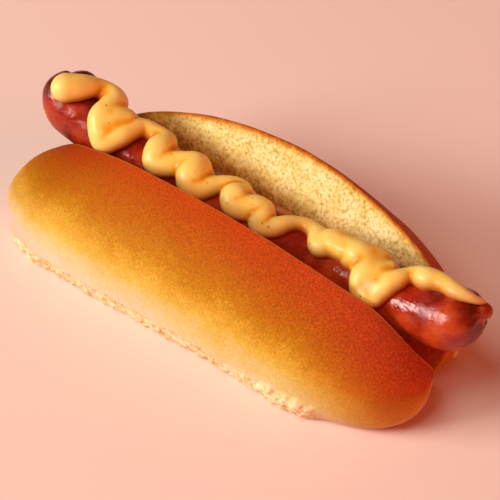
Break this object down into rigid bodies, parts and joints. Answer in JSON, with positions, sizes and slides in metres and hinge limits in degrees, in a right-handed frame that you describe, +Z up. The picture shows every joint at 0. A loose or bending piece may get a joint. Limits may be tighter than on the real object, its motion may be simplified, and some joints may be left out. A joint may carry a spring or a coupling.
{
  "type": "hot dog",
  "caption": "Hot dog: a frankfurter lying in a soft roll that is split along its top and opened like a book, with a wavy ribbon of mustard piped over the sausage.",
  "frame": {"origin": "centre of the bounding box, on the surface that the roll stands on", "axes": "+X along the sausage, +Y towards the half of the roll that shows its cut face, +Z up"},
  "size_m": [0.171, 0.0768, 0.0474],
  "materials": {
    "bread": "soft satin baked crust, bare crumb on the cut faces and along the feet",
    "sausage": "glossy, mottled casing",
    "mustard": "smooth wet gloss"
  },
  "bodies": {
    "root": {"bun": "bread", "sausage": "sausage", "mustard": "mustard"}
  },
  "joints": []
}
